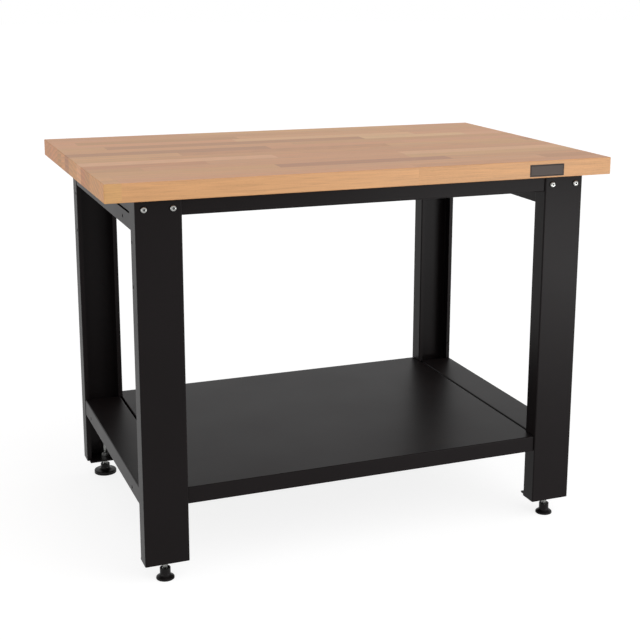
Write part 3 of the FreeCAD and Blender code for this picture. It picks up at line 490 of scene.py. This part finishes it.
def add_thread(bm, centre, low, high):
    """A threaded rod from low to high, open at both ends."""
    columns = []
    for step in range(STEPS):
        lift = low - PITCH + PITCH * step / STEPS
        columns.append([ring_point(bm, centre, radius, step, height)
                        for height, radius in thread_column(lift, low, high)])
    columns.append(columns[0][len(tooth):])
    for near, far in zip(columns, columns[1:]):
        for corners in zip(near, far, far[1:], near[1:]):
            bm.faces.new(corners)


print("points round a stud:", STEPS)

# %% [markdown]
# ### The collar, and the finished piece
# Under its thread the stud has a plain round collar with bevelled edges, turned on a lathe. It is made
# in the same way here, by carrying its outline round the centre. What is left is to close the flat ends
# and to shade the piece: smooth where it is round, and crisp where faces meet at more than a slight
# angle.

# %% Helpers for the collar and the piece
SAME_POINT = 0.002 * MM
CRISP_ANGLE = math.radians(28)

def add_turned(bm, centre, outline):
    """A turned part: the outline's (radius, height) points carried round the centre."""
    rings = [[ring_point(bm, centre, radius, step, height) for step in range(STEPS)]
             for radius, height in outline]
    for lower, upper in zip(rings, rings[1:]):
        for step in range(STEPS):
            after = (step + 1) % STEPS
            bm.faces.new((lower[step], lower[after], upper[after], upper[step]))


def finish_mesh(bm, name):
    """Merges doubled points, closes the ends, and makes an object with crisp edges and smooth rounds."""
    bmesh.ops.remove_doubles(bm, verts=bm.verts, dist=SAME_POINT)
    bmesh.ops.dissolve_degenerate(bm, edges=bm.edges, dist=SAME_POINT)
    bmesh.ops.holes_fill(bm, edges=[edge for edge in bm.edges if edge.is_boundary])
    bmesh.ops.recalc_face_normals(bm, faces=bm.faces)
    mesh = bpy.data.meshes.new(name)
    bm.to_mesh(mesh)
    bm.free()
    mesh.polygons.foreach_set("use_smooth", [True] * len(mesh.polygons))
    mesh.set_sharp_from_angle(angle=CRISP_ANGLE)
    piece = bpy.data.objects.new(name, mesh)
    bpy.context.scene.collection.objects.link(piece)
    return piece


print("crisp from:", round(math.degrees(CRISP_ANGLE)), "degrees")

# %% [markdown]
# ### Four studs
# The table stands on four equal studs. Each takes its place and its size from the model's own stud,
# stands for it, and rides on the same body, so it turns and travels with its pad.

# %% Cut the four studs
COLLAR_HEIGHT = 7 * MM
BEVEL = 1 * MM

for corner in ("front_left", "front_right", "rear_left", "rear_right"):
    node = "foot_stud_" + corner
    low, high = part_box(node)
    centre = (low + high) / 2
    collar_radius = (high.x - low.x) / 2
    collar_top = low.z + COLLAR_HEIGHT
    bm = bmesh.new()
    add_thread(bm, centre, collar_top - BEVEL, high.z)
    add_turned(bm, centre, [(collar_radius - BEVEL, low.z), (collar_radius, low.z + BEVEL),
                            (collar_radius, collar_top - BEVEL), (collar_radius - BEVEL, collar_top)])
    stud = finish_mesh(bm, "threaded_stud_" + corner)
    stud.data.materials.append(zinc_thread_painted_lit)
    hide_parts(node)
    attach(stud, node)
    print(stud.name, "faces:", len(stud.data.polygons))

# %% [markdown]
# ## The studio
# The table stands in a white studio. To the camera, and in reflections, the room and the floor are
# plain white. Everything else only sees the room as a soft light that is strongest from the front
# right and weakest from behind, so that sides which face different ways can be told apart. The same
# could be done with more lamps, but on the satin steel each would show as a spot. The floor still
# darkens a little under the table, because part of its white comes from light that the table can
# block.

# %% White surroundings
ROOM_LIGHT = 0.38  # from all round
WALL_LIGHT = 1.85  # added on the bright side
BRIGHT_SIDE = (0.6, -0.78, 0.18)  # the way to its middle, seen from the table
BRIGHT_FOCUS = 2.0  # a higher power would make the bright side narrower
FLOOR_SIDE = 60.0
FLOOR_GLOW = 0.82  # the part of its white that the table can't block

def seen_directly(tree):
    """1 for rays from the camera, in reflections and through glass, and 0 for the light's own bounces."""
    ray = add(tree, "LightPath").outputs
    mirrored = add(tree, "Math", {0: ray["Is Glossy Ray"], 1: ray["Is Transmission Ray"]},
                   operation="MAXIMUM")
    return add(tree, "Math", {0: ray["Is Camera Ray"], 1: mirrored}, operation="MAXIMUM")


world = bpy.data.worlds.new("studio_room")
world.use_nodes = True
bpy.context.scene.world = world
tree = world.node_tree
tree.nodes.clear()
direction = add(tree, "TexCoord").outputs["Generated"]
towards = add(tree, "VectorMath", {0: direction, 1: BRIGHT_SIDE}, operation="DOT_PRODUCT")
in_front = add(tree, "Math", {0: towards, 1: 0.0}, operation="MAXIMUM")
focused = add(tree, "Math", {0: in_front, 1: BRIGHT_FOCUS}, operation="POWER")
strength = add(tree, "Math", {0: focused, 1: WALL_LIGHT, 2: ROOM_LIGHT}, operation="MULTIPLY_ADD")
soft_light = add(tree, "Background", {"Color": colour("#FFFFFF"), "Strength": strength})
white_room = add(tree, "Background", {"Color": colour("#FFFFFF"), "Strength": 1.0})
room = add(tree, "MixShader", {0: seen_directly(tree), 1: soft_light, 2: white_room})
add(tree, "OutputWorld", {"Surface": room})

floor_paint, tree = new_finish("studio_floor_white")
matt = add(tree, "BsdfDiffuse", {"Color": colour("#E6E6E6")})
faint = add(tree, "BsdfDiffuse", {"Color": colour("#9A9A9A")})
glow = add(tree, "Emission", {"Color": colour("#FFFFFF"), "Strength": FLOOR_GLOW})
white_floor = add(tree, "AddShader", {0: faint, 1: glow})
paint = add(tree, "MixShader", {0: seen_directly(tree), 1: matt, 2: white_floor})
add(tree, "OutputMaterial", {"Surface": paint})

bpy.ops.mesh.primitive_plane_add(size=FLOOR_SIDE, location=(0.0, 0.0, 0.0))
floor = bpy.context.object
floor.name = "studio_floor"
floor.data.materials.append(floor_paint)
print("floor:", FLOOR_SIDE, "m a side")

# %% [markdown]
# ### Lamps
# Two flat lamps add to the room's light. A low, wide one stands on the left, like a window, and lifts
# the sides that face it. A narrow strip lies near the floor in front on the right, and lifts the front
# of the board and the leg on that side. It looks up from below the board's face, so that face doesn't
# mirror it. Flat lamps are chosen over points because their edges are soft in satin steel.

# %% Lamps
def softbox(name, place, aim, width, height, watts):
    """A flat, soft lamp that looks from its place at a point."""
    lamp = bpy.data.lights.new(name, "AREA")
    lamp.shape = "RECTANGLE"
    lamp.size, lamp.size_y = width, height
    lamp.energy = watts
    stand = bpy.data.objects.new(name, lamp)
    stand.location = place
    stand.rotation_euler = (Vector(aim) - Vector(place)).to_track_quat("-Z", "Y").to_euler()
    bpy.context.scene.collection.objects.link(stand)
    print(name, "gives", watts, "W")


softbox("left_window", place=(-3.6, -1.2, 0.7), aim=(0.0, 0.0, 0.7), width=2.6, height=1.3, watts=22)
softbox("low_strip", place=(1.5, -2.2, 0.22), aim=(0.38, -0.36, 0.7), width=1.2, height=0.24, watts=17)

# %% [markdown]
# ## The camera
# The table is seen from its front left, from 1.3 m up, through a short telephoto lens. The angles turn
# a camera that looks along +Y: first the turn about the vertical, then the tilt down, then a slight
# roll. Aiming the camera at a point would be simpler, but it leaves the roll open. A small shift of the
# lens keeps the table in the frame's middle without turning the camera further.

# %% Camera
LENS = 71.1
LENS_SHIFT = (-0.0625, -0.0906)
EYE = (-1.0895, -2.8862, 1.3168)
TURN, TILT, ROLL = (math.radians(angle) for angle in (-22.67, -12.84, -0.53))
LEVEL = Euler((math.pi / 2, 0, 0)).to_matrix().to_4x4()  # from looking down to looking along +Y

camera_data = bpy.data.cameras.new("camera")
camera_data.lens = LENS
camera_data.shift_x, camera_data.shift_y = LENS_SHIFT
camera = bpy.data.objects.new("camera", camera_data)
look = Matrix.Rotation(TURN, 4, "Z") @ Matrix.Rotation(TILT, 4, "X") @ Matrix.Rotation(ROLL, 4, "Y")
camera.matrix_world = Matrix.Translation(EYE) @ look @ LEVEL
bpy.context.scene.collection.objects.link(camera)
bpy.context.scene.camera = camera
bpy.context.scene.view_settings.view_transform = "Standard"
print("camera at", [round(value, 3) for value in camera.location])
